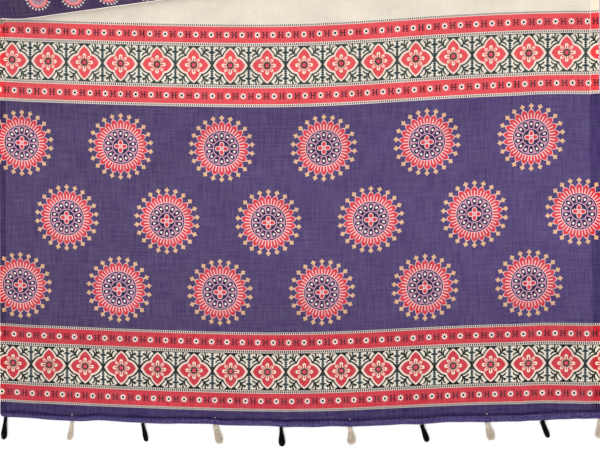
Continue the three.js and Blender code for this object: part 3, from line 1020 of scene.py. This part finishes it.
def narrow_right(u, v):
    """Moves the right hem's columns towards the selvedge where the hem is narrower."""
    share = ease(np.clip((v / MM - RIGHT_HEM["from"]) / (RIGHT_HEM["to"] - RIGHT_HEM["from"]), 0, 1))
    width = RIGHT_HEM["near"] + (RIGHT_HEM["far"] - RIGHT_HEM["near"]) * share
    return right_edge - (right_edge - u) * width / RIGHT_HEM["far"]


def add_side_hem(name, columns, node, fit=None, edges=None):
    across = np.linspace(-1, 1, len(columns))
    loft = SIDE_HEM["thin"] + (SIDE_HEM["loft"] - SIDE_HEM["thin"]) * (1 - np.abs(across) ** 4)
    first = END_MM + hem_depth(columns[len(columns) // 2] * MM) / MM + HEM_GAP
    reach = -LIP["near"] - SIDE_HEM["short"]
    piece = add_cloth(
        name,
        columns,
        size=3.0,
        height=wall + gap,
        thick=loft * MM,
        materials=hem_contrast_cloth + edge_threads,
        stop=lambda u: packet_line(u, reach),
        extra=[0.34, 0.67, 1.0],
        first=first,
        fit=fit,
        edges=edges,
    )
    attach(piece, body)
    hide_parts(node)
    return piece


edge_threads = [
    cloth_material("hem_pale_thread", plain(WHITE)),
    cloth_material("right_edge_lilac", plain(dye(196, 176, 190))),
]
PALE_THREAD, RIGHT_EDGE_LILAC = len(PRINTS), len(PRINTS) + 1
left_columns = np.linspace(LEFT, LEFT + SIDE_HEM["left"], 12)
hem_first = RIGHT - RIGHT_HEM["far"]
right_columns = np.concatenate([[hem_first], np.linspace(hem_first + 0.3, RIGHT, 21)])
# Where the print is pale, the right hem's inner edge has a pale thread, and a lilac-grey strip is drawn
# along its outer part.
right_threads = {0: PALE_THREAD, **{column: RIGHT_EDGE_LILAC for column in range(13, 18)}}
hem_left = add_side_hem("Hem_left", left_columns, "hem_left")
hem_right = add_side_hem("Hem_right", right_columns, "hem_right", narrow_right, right_threads)
print("hems added")

# %% [markdown]
# ## The folded packet
# The rest of the saree is folded in half along its length and then to and fro, so it lies
# as eight layers. The top one is a sheet of its own, and the seven under it show only as
# edges. p runs along the packet's near edge and q back from it, both in millimetres.

# %% How the packet lies
PULL = {"rise": 9.5, "reach": 56, "depth": 80, "power": 1.4}
LAYERS = 7
LAYER = 1.25
CROWN = 3.0
SETTLE = {"slack": 20, "from": 30, "over": 40}  # where the packet comes down to the floor


def packet_place(p, q):
    """Rounds the packet's corners and pulls its near left corner back."""
    inset = corner_inset(np.minimum(q, PACKET["depth"] - q), PACKET_CORNER)
    along = inset + p * (PACKET["length"] - 2 * inset) / PACKET["length"]
    pull = PULL["rise"] * np.maximum(1 - along / PULL["reach"], 0) ** PULL["power"]
    return along, q + pull * np.maximum(1 - q / PULL["depth"], 0)


def packet_to_floor(p, q, z):
    x = PACKET["left"] + p * cosine - q * sine
    y = PACKET["near"] + p * sine + q * cosine
    return np.stack([x, y, z], axis=-1) * MM


def folds_top(p, q):
    """The height in mm of the hidden layers, crowned in the middle."""
    across = 1 - np.abs(2 * p / PACKET["length"] - 1) ** 6
    deep = 1 - np.abs(2 * q / PACKET["depth"] - 1) ** 4
    return (wall + gap) / MM + LAYERS * LAYER + CROWN * across * deep


def floor_under(p, q):
    """The packet lies on the spread cloth, and past its edges it settles on the floor."""
    place = packet_to_floor(p, q, q * 0) / MM
    aside = np.maximum(LEFT - place[..., 0], place[..., 0] - RIGHT)
    past = np.maximum(aside, q - UNDERLAP - SETTLE["slack"])
    return (wall + gap) / MM * (1 - ease(np.clip((past - SETTLE["from"]) / SETTLE["over"], 0, 1)))


# %% [markdown]
# ## The packet's border
# The border along its edge has the same medallion at a smaller size, printed in a row on
# navy. Past a dotted line the rest is plain cream. A pale selvedge thread runs along the
# very edge.

# %% The border's print
SMALL = {"first": 86.0, "pitch": 67.3, "size": 0.39, "from": 50.0, "middle": 26.4}
CORNER_CLIMB = {"tall": 18, "reach": 300}  # how the row climbs towards the near left corner
BORDER_DEEP = 70


def border_print(x, y):
    """x runs along the packet's edge and y back from it."""
    near = (1 - x / CORNER_CLIMB["reach"]).most(0.0)
    middle = near * near * CORNER_CLIMB["tall"] + SMALL["middle"]
    along = repeat(x - SMALL["first"], SMALL["pitch"])
    colour = medallion(along, y - middle, SMALL["size"], BORDER_NAVY, CREAM)
    colour = paint(BORDER_NAVY, colour, inside(x - SMALL["from"]))
    return paint(colour, WHITE, inside(0.7 - y, 0.5))


def beyond_border(x, y):
    """The dotted line past the border, and then the plain cream ground."""
    colour = paint(CREAM, WHITE, inside(BORDER_DEEP + LINE - y))
    near = abs(y - BORDER_DEEP - LINE / 2)
    dot = 0.95 - abs(repeat(x, DOT_PITCH)).most(near)
    return paint(colour, INK, inside(dot))


packet_prints = {"packet_border": border_print, "packet_cream": beyond_border}
packet_cloth = [cloth_material(name, pattern) for name, pattern in packet_prints.items()]

# %% [markdown]
# ## The packet's top layer
# It is crowned a little in the middle. Its rim hangs a few millimetres past the layers under
# it: a loose, slightly wavy selvedge on the near side and rounded folds on the others.

# %% The top layer
def packet_steps(edge_steps, middle_size, long):
    """Close steps by both edges and wider ones between them."""
    start = list(edge_steps)
    back = [long - step for step in reversed(start)]
    return np.array(start + list(steps(start[-1], back[0], middle_size))[1:] + back)


STORED = {"long_tall": 1.2, "long_half": 14, "cross_tall": 0.9, "cross_half": 12, "level_by": 30}


def packet_folds_lift(p, q):
    """Soft creases where the packet was folded for storage, in millimetres."""
    long_fold = bell((q - 0.5 * PACKET["depth"]) / STORED["long_half"]) * STORED["long_tall"]
    quarters = (0.25 * PACKET["length"], 0.75 * PACKET["length"])
    cross = sum(bell((p - quarter) / STORED["cross_half"]) for quarter in quarters)
    slack = 0.4 + 0.4 * np.sin(p * 0.021 + 1.2 * np.sin(q * 0.013)) * np.sin(q * 0.024 + 1.0)
    fade = np.clip(np.minimum(q, PACKET["depth"] - q) / STORED["level_by"], 0, 1)
    return (long_fold + STORED["cross_tall"] * cross + slack) * fade


top_p = packet_steps([0, 1, 2.5, 5, 9, 14, 20, 27, 36], 6.5, PACKET["length"])
top_q = packet_steps([0, 1, 2, 4, 7, 11, 16, 22, 29, 37], 5.5, PACKET["depth"])
columns, rows = len(top_p) + 2, len(top_q) + 2
inner_p, inner_q = packet_place(np.pad(top_p, 1, "edge")[None, :], np.pad(top_q, 1, "edge")[:, None])
sideways = np.zeros((rows, columns))
sideways[:, 0], sideways[:, -1] = -1, 1
deeper = np.zeros((rows, columns))
deeper[0, :], deeper[-1, :] = -1, 1
near_wave = 0.35 * np.sin(inner_p * 0.09) * np.sin(inner_p * 0.023)
reach = np.where(deeper < 0, LIP["near"] + near_wave, LIP["folded"])
outer_p = inner_p + sideways * LIP["folded"]
outer_q = inner_q + deeper * reach
drop = np.where((deeper < 0) & (sideways == 0), 0.4, LIP["drop"]) * ((deeper != 0) | (sideways != 0))
base = folds_top(inner_p, inner_q) + LIP["air"] - drop + packet_folds_lift(inner_p, inner_q)
lower = packet_to_floor(outer_p, outer_q, base)
upper = packet_to_floor(outer_p, outer_q, base + wall / MM)
printed_q = np.pad(top_q, 1, "edge")[:, None] + deeper * LIP["near"] + LIP["near"]
printed = np.stack(np.broadcast_arrays(np.pad(top_p, 1, "edge")[None, :], printed_q), axis=-1) * MM
past_border = np.tile(printed_q[:-1, :1] > BORDER_DEEP - 2, (1, columns - 1)).astype(int)
top_mesh = wall_mesh("Packet_top", lower, upper, printed, past_border)
packet_top = add_piece("Packet_top", top_mesh, packet_cloth)
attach(packet_top, body)
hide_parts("packet_top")
print("packet top triangles:", 2 * len(top_mesh.polygons))

# %% [markdown]
# ## The layers under it
# Seven layers show at the packet's edges. They share one closed form, because nobody sees
# between them: its side has a rounded rim for each layer and a groove between two rims. The
# rims wander in and out a little, as hand-folded cloth does.

# %% The hidden layers
SIDES = {
    "near": {"wander": 2.2, "between": 2.6, "inside": 2.6},
    "right": {"wander": 1.6, "between": 3.6, "inside": 0.9},
    "far": {"wander": 1.2, "between": 4.2, "inside": 0.5},
    "left": {"wander": 1.6, "between": 3.6, "inside": 0.9},
}


def ring_sides(columns, rows):
    """Which side each rim point is on, from its place in rim_of."""
    names = ["near"] * (columns - 1) + ["right"] * (rows - 1) + ["far"] * (columns - 1)
    return names + ["left"] * (rows - 1)


def layer_rings(columns, rows, around):
    """Each ring is its share of the height and how far out it is, in mm, at each point."""
    side = ring_sides(columns, rows)
    size = {key: np.array([SIDES[name][key] for name in side]) for key in ("wander", "between", "inside")}
    rings = []
    for layer in range(LAYERS):
        out = size["wander"] * (np.sin(layer * 2.4 + around / 62) - 0.3) * 0.5
        for share, deep in ((0.16, 0.35), (0.5, 0.0), (0.84, 0.35)):
            rings.append(((layer + share) / LAYERS, out - deep))
        if layer < LAYERS - 1:
            groove = size["between"] if layer % 2 == 0 else size["inside"]
            rings.append(((layer + 1) / LAYERS, -groove))
    return rings


stack_p = packet_steps([0, 2, 4, 8, 14, 24, 36], 9.5, PACKET["length"])
stack_q = packet_steps([0, 1, 2, 4, 6, 10, 14, 24, 36], 9.5, PACKET["depth"])
p, q = packet_place(stack_p[None, :], stack_q[:, None])
lower = packet_to_floor(p, q, floor_under(p, q))
upper = packet_to_floor(p, q, folds_top(p, q))
around = np.arange(len(rim_of(len(stack_q), len(stack_p)))) * 9.0
uv = np.stack(np.broadcast_arrays(stack_p[None, :], stack_q[:, None]), axis=-1) * MM
rings = layer_rings(len(stack_p), len(stack_q), around)
stack = wall_mesh("Packet_layers", lower, upper, uv, rings=rings)


def layers_print(x, y):
    """Navy where the border is folded in, and cream further back."""
    return paint(HEM_NAVY, CREAM, inside(y - BORDER_DEEP))


packet_layers = add_piece("Packet_layers", stack, [cloth_material("packet_layers", layers_print)])
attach(packet_layers, body)
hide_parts("packet_folds")
print("packet layers triangles:", 2 * len(stack.polygons))

# %% [markdown]
# ## The tassels
# Ten tassels are tied along the end, dark and cream in turn. Each is a bundle of threads
# bound by a wound head. The strands are drawn as lines here, and a Geometry Nodes tree turns
# the lines into round threads, so the thread's thickness stays one number.

# %% Where the tassels are tied
TASSELS = [
    # u, tone, lean in degrees, length, neck width, skirt width
    (-558.3, "dark", -5, 42, 6.6, 12.2),
    (-422.6, "cream", -8.5, 36, 6.4, 11.4),
    (-287.8, "dark", 12, 35, 6.6, 10),
    (-150.2, "cream", 16, 37, 10.2, 16.4),
    (-25.6, "dark", 4, 36, 6.4, 13.4),
    (103.4, "cream", 7, 33, 8, 17.6),
    (237, "dark", 19, 34, 8, 11.8),
    (357.7, "cream", 16, 34, 8.8, 17.6),
    (459, "dark", 21, 33, 9.2, 10.8),
    (570.2, "cream", -5, 36, 9.6, 16.4),
]
HEAD_LONG = 9.0
HEAD_TALL = 4.6
STRANDS = 46
STRAND_RADIUS = 0.42
BINDING = {"turns": 11, "steps": 14, "radius": 0.36}
CORE_RADIUS = 1.05  # at most, so it stays above the floor
TIE_GAP = 0.65  # from the cloth's end to the head


# %% [markdown]
# The thread tree takes a mesh of lines, makes curves of them and sweeps a small circle along
# each one. Its inputs are the thread's radius and how many sides it has.

# %% The thread tree
THREAD_SOCKETS = [
    # name, side, kind
    ("Geometry", "INPUT", "Geometry"),
    ("Thread radius", "INPUT", "Float"),
    ("Sides", "INPUT", "Int"),
    ("Geometry", "OUTPUT", "Geometry"),
]
THREAD_NODES = {
    "start": "NodeGroupInput",
    "curve": "GeometryNodeMeshToCurve",
    "circle": "GeometryNodeCurvePrimitiveCircle",
    "sweep": "GeometryNodeCurveToMesh",
    "real": "GeometryNodeRealizeInstances",
    "paint": "GeometryNodeSetMaterial",
    "stop": "NodeGroupOutput",
}
THREAD_LINKS = [
    # from node, its output, to node, its input
    ("start", "Geometry", "curve", "Mesh"),
    ("start", "Thread radius", "circle", "Radius"),
    ("start", "Sides", "circle", "Resolution"),
    ("curve", "Curve", "sweep", "Curve"),
    ("circle", "Curve", "sweep", "Profile Curve"),
    ("sweep", "Mesh", "real", "Geometry"),
    ("real", "Geometry", "paint", "Geometry"),
    ("paint", "Geometry", "stop", "Geometry"),
]


def thread_tree(name, material):
    tree = bpy.data.node_groups.new(name, "GeometryNodeTree")
    for socket, side, kind in THREAD_SOCKETS:
        tree.interface.new_socket(socket, in_out=side, socket_type="NodeSocket" + kind)
    nodes = {key: tree.nodes.new(kind) for key, kind in THREAD_NODES.items()}
    nodes["sweep"].inputs["Fill Caps"].default_value = True
    nodes["paint"].inputs["Material"].default_value = material
    for giver, output, taker, entry in THREAD_LINKS:
        tree.links.new(nodes[giver].outputs[output], nodes[taker].inputs[entry])
    return tree


def lines_mesh(name, lines):
    """One mesh with an edge along each line of points, in millimetres."""
    mesh = bpy.data.meshes.new(name)
    points = np.concatenate(lines) * MM
    edges = []
    first = 0
    for line in lines:
        edges.extend((first + k, first + k + 1) for k in range(len(line) - 1))
        first += len(line)
    mesh.from_pydata(points.tolist(), edges, [])
    return mesh


def grow_threads(name, lines, tree, radius, sides):
    """Runs the thread tree on the lines and keeps its result as a plain mesh."""
    piece = add_piece(name, lines_mesh(name + "_lines", lines), [])
    modifier = piece.modifiers.new("Threads", "NODES")
    modifier.node_group = tree
    inputs = {"Thread radius": radius * MM, "Sides": sides}
    for item in tree.interface.items_tree:
        if item.name in inputs:
            modifier[item.identifier] = inputs[item.name]
    graph = bpy.context.evaluated_depsgraph_get()
    mesh = bpy.data.meshes.new_from_object(piece.evaluated_get(graph))
    piece.modifiers.clear()
    mesh.name = name
    mesh.polygons.foreach_set("use_smooth", np.ones(len(mesh.polygons), dtype=bool))
    piece.data = mesh
    return piece


# %% [markdown]
# A spun cotton thread is a little shiny on its crowns and dark between its plies. The twist
# is drawn from the object's own coordinates.

# %% The threads' material
def thread_material(name, base, pale_and_highlight, rough, shine, sheen):
    material, start = new_material(name)
    place = start.node("TexCoord", None, None, 3)
    fine = place.node("TexNoise", None, {"Vector": place, "Scale": 900.0, "Detail": 3.0})
    broad = place.node("TexNoise", None, {"Vector": place, "Scale": 240.0, "Detail": 2.0})
    # The colour varies at random between base and a pale tone. The pale tone also stands in for painted
    # highlights on the threads.
    colour = paint(base, pale_and_highlight, inside((fine + broad) * 0.5 - 0.5, 0.5))
    ply = place.node("TexWave", None, {"Vector": place, "Scale": 420.0, "Distortion": 2.0})
    bump = place.node("Bump", None, {"Strength": 0.5, "Distance": 0.3 * MM, "Height": ply + fine})
    values = {"Base Color": colour, "Roughness": rough, "Normal": bump, "Specular IOR Level": shine}
    shader = place.node("BsdfPrincipled", None, {**values, "Sheen Weight": sheen})
    shader.node("OutputMaterial", None, {0: shader})
    return material


threads = {
    "dark": thread_material("dark_thread", dye(1, 1, 1), dye(12, 11, 14), 0.9, 0.08, 0.0),
    "cream": thread_material("cream_thread", dye(190, 168, 148), dye(252, 238, 220), 0.8, 0.25, 0.1),
}
trees = {tone: thread_tree(f"{tone}_threads", material) for tone, material in threads.items()}


# %% [markdown]
# A strand starts inside the head, fans out, and ends near the floor. Strands are spread over
# the bundle by the golden angle, which leaves no two in the same place. The head's binding
# is one thread wound round and round.

# %% A tassel's lines
GOLDEN = 2.39996


def strand_line(k, long, neck, skirt, seed):
    """A strand's points in mm: x across, y along (negative is away from the cloth), z up."""
    ring = math.sqrt((k + 0.5) / STRANDS)
    angle = k * GOLDEN + seed
    across, up = ring * math.cos(angle), ring * math.sin(angle)
    ragged = 1.5 * math.sin(k * 5.1 + seed) - 0.6
    line = []
    for t in np.linspace(0, 1, 9):
        width = neck / 2 + (skirt - neck) / 2 * ease(min(t * 1.15, 1))
        tuck = 1 - 0.16 * max(t - 0.85, 0) / 0.15
        sway = 0.35 * math.sin(4 * t + k) * t
        tall = HEAD_TALL / 2 * (1 - t) + 1.9 * t
        middle = HEAD_TALL / 2 * (1 - t) + 2.3 * t + 0.15
        rounded = 2.2 * across * across * t
        y = -3.0 - (long - 3.0 + ragged - rounded) * t
        line.append((across * (width - 0.4) * tuck + sway, y, middle + up * (tall - 0.45)))
    return np.array(line)


def binding_line(neck):
    """The binding: a thread wound round the head, from its top down."""
    line = []
    for t in np.linspace(0, 1, BINDING["turns"] * BINDING["steps"] + 1):
        angle = t * BINDING["turns"] * TURN
        swell = 0.86 + 0.14 * math.sin(math.pi * min(t * 1.5, 1))
        x = math.cos(angle) * (neck / 2 - 0.3) * swell
        z = HEAD_TALL / 2 + 0.15 + math.sin(angle) * (HEAD_TALL / 2 - 0.35) * swell
        line.append((x, -0.4 - t * (HEAD_LONG - 1.2), z))
    return np.array(line)


def core_lines(neck):
    """Thick threads that fill the head under its binding."""
    lines = []
    for k in range(7):
        angle = k * TURN / 6
        ring = 0.0 if k == 6 else 0.52
        x = math.cos(angle) * neck / 2 * ring
        z = HEAD_TALL / 2 + math.sin(angle) * HEAD_TALL / 2 * ring
        lines.append(np.array([(x, -0.1, z), (x, -HEAD_LONG / 2, z), (x, -HEAD_LONG, z)]))
    return lines


# %% Tie the tassels on
def hang(lines, u, lean):
    """Turns a tassel's lines and moves them to the place where it is tied."""
    tie = lay(np.array([u * MM]), np.array([end]), 0.0)[0] / MM
    turn = np.array(Matrix.Rotation(math.radians(lean), 3, "Z"))
    return [line @ turn.T + (tie[0], tie[1] - TIE_GAP, 0.0) for line in lines]


def join(pieces, name):
    """Makes one mesh of several pieces. It has no material yet."""
    merged = bpy.data.meshes.new(name)
    points, faces, first = [], [], 0
    for piece in pieces:
        points.extend(tuple(vertex.co) for vertex in piece.data.vertices)
        faces.extend([first + k for k in polygon.vertices] for polygon in piece.data.polygons)
        first += len(piece.data.vertices)
    merged.from_pydata(points, [], faces)
    merged.polygons.foreach_set("use_smooth", np.ones(len(merged.polygons), dtype=bool))
    for other in pieces[1:]:
        bpy.data.objects.remove(other)
    pieces[0].data = merged
    return pieces[0]


for number, (u, tone, lean, long, neck, skirt) in enumerate(TASSELS, 1):
    strands = [strand_line(k, long, neck, skirt, number * 1.7) for k in range(STRANDS)]
    name = f"Tassel_{number}"
    core_radius = min(neck * 0.17, CORE_RADIUS)
    parts = [
        # part of the name, lines, radius, sides
        ("", strands, STRAND_RADIUS, 5),
        ("_binding", [binding_line(neck)], BINDING["radius"], 6),
        ("_core", core_lines(neck), core_radius, 8),
    ]
    grown = []
    for ending, lines, radius, sides in parts:
        grown.append(grow_threads(name + ending, hang(lines, u, lean), trees[tone], radius, sides))
    tassel = join(grown, name)
    tassel.data.materials.append(threads[tone])
    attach(tassel, body)
    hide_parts(f"tassel_{number}")

# %% [markdown]
# ## Hem stitches and knots
# The roll is held by small slanted stitches over its inner edge, and the threads of the first
# four cream tassels end in a small knot there. Both are short lines that the thread tree
# makes round.

# %% Stitches along the roll's inner edge
STITCH = {"first": 14, "last": 20, "pitch": 6.2, "long": 3.4, "slant": 1.4, "radius": 0.2}
KNOT = {"long": 2.2, "radius": 0.7, "inside": 1.4, "up": 0.9}


def seam_point(u, past, up):
    """A point in mm, past the hem's inner edge and up from the cloth there."""
    v = end + hem_depth(u * MM) + past * MM
    return lay(np.array([u * MM]), np.array([v]), wall + up * MM)[0] / MM


def stitch_line(u):
    """Over the roll's inner edge: it starts on the roll and ends on the cloth."""
    half = STITCH["long"] / 2
    over = [(-half, 1.7), (-half * 0.3, 1.55), (half * 0.35, 1.0), (half, 0.3)]
    return np.array([seam_point(u + STITCH["slant"] * past / half, past, up) for past, up in over])


stitch_places = np.arange(LEFT + STITCH["first"], RIGHT - STITCH["last"], STITCH["pitch"])
stitch_lines = [stitch_line(u) for u in stitch_places]
stitch_material = thread_material("seam_thread", dye(30, 20, 62), dye(84, 70, 130), 0.85, 0.1, 0.05)
stitch_tree = thread_tree("seam_threads", stitch_material)
stitches = grow_threads("Hem_stitches", stitch_lines, stitch_tree, STITCH["radius"], 5)
knots = []
for u, tone, *rest in TASSELS[:-1]:
    if tone == "cream":
        base = seam_point(u, KNOT["inside"], KNOT["up"])
        ends = [base + (-KNOT["long"] / 2, 0, 0), base + (KNOT["long"] / 2, 0.3, 0)]
        knots.append(np.array([ends[0], base + (0, 0.1, 0.25), ends[1]]))
knot_piece = grow_threads("Tassel_knots", knots, trees["cream"], KNOT["radius"], 8)
for piece, slot in ((stitches, "hem_cloth"), (knot_piece, "cream_thread")):
    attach(piece, body)
print("stitches:", len(stitch_lines), "knots:", len(knots))

# %% [markdown]
# The pallu's flat length, from its end to where its rows stop under the packet, is worked out here. The
# pallu is spread flat, and the packet's top layer is one layer of a folded cloth.


pallu_long = (packet_line(LEFT, UNDERLAP) + packet_line(RIGHT, UNDERLAP)) / 2 * MM - end

# %% [markdown]
# ## The studio
# The saree lies on a white floor under even, soft light from a large source near its tassel
# end. The camera looks almost straight down, as for a catalogue picture.

# %% Floor
FLOOR = {"reach": 6.0, "under": 0.3 * MM}


def add_floor(reach, under):
    mesh = bpy.data.meshes.new("Floor")
    corners = [(-reach, -reach), (reach, -reach), (reach, reach), (-reach, reach)]
    mesh.from_pydata([(x, y, -under) for x, y in corners], [], [(0, 1, 2, 3)])
    material, start = new_material("floor_paper")
    place = start.node("TexCoord", None, None, 3)
    grain = place.node("TexNoise", None, {"Vector": place, "Scale": 40.0, "Detail": 2.0})
    colour = paint((0.86, 0.86, 0.86, 1), (0.89, 0.89, 0.89, 1), grain)
    shader = place.node("BsdfPrincipled", None, {"Base Color": colour, "Roughness": 0.9})
    shader.node("OutputMaterial", None, {0: shader})
    floor = add_piece("Floor", mesh, [material])


add_floor(**FLOOR)

# %% Light
scene = bpy.context.scene
scene.view_settings.view_transform = "Standard"
scene.view_settings.look = "None"
scene.view_settings.exposure = 0.0
scene.view_settings.gamma = 1.0
world = bpy.data.worlds.new("Studio")
scene.world = world
world.use_nodes = True
sky = world.node_tree.nodes["Background"]
sky.inputs["Color"].default_value = (1.0, 1.0, 1.0, 1.0)
sky.inputs["Strength"].default_value = 1.0


def add_sun(name, towards, strength, spread):
    light = bpy.data.lights.new(name, "SUN")
    light.energy = strength
    light.angle = math.radians(spread)
    lamp = bpy.data.objects.new(name, light)
    lamp.rotation_euler = Vector(towards).to_track_quat("-Z", "Y").to_euler()
    scene.collection.objects.link(lamp)


add_sun("Soft_key", (0.25, 0.9, -0.75), 1.5, 25)

# %% Camera
AIM = Vector((0.010, 0.0, 0.0))
FAR = 2.4
LENS = 76.9
YAW, PITCH = 0.0634, 0.011
aside, ahead = math.sin(YAW), math.sin(PITCH)
place = AIM + FAR * Vector((aside, ahead, math.sqrt(1 - aside**2 - ahead**2)))
towards = (AIM - place).normalized()
right = towards.cross(Vector((0, 1, 0))).normalized()
up = right.cross(towards)
lens = bpy.data.cameras.new("Camera")
lens.lens = LENS
lens.sensor_width = 36
camera = bpy.data.objects.new("Camera", lens)
camera.matrix_world = Matrix.Translation(place) @ Matrix((right, up, -towards)).transposed().to_4x4()
scene.collection.objects.link(camera)
scene.camera = camera
print("camera at", [round(value, 3) for value in place])

# %% Finish
bpy.context.view_layer.update()
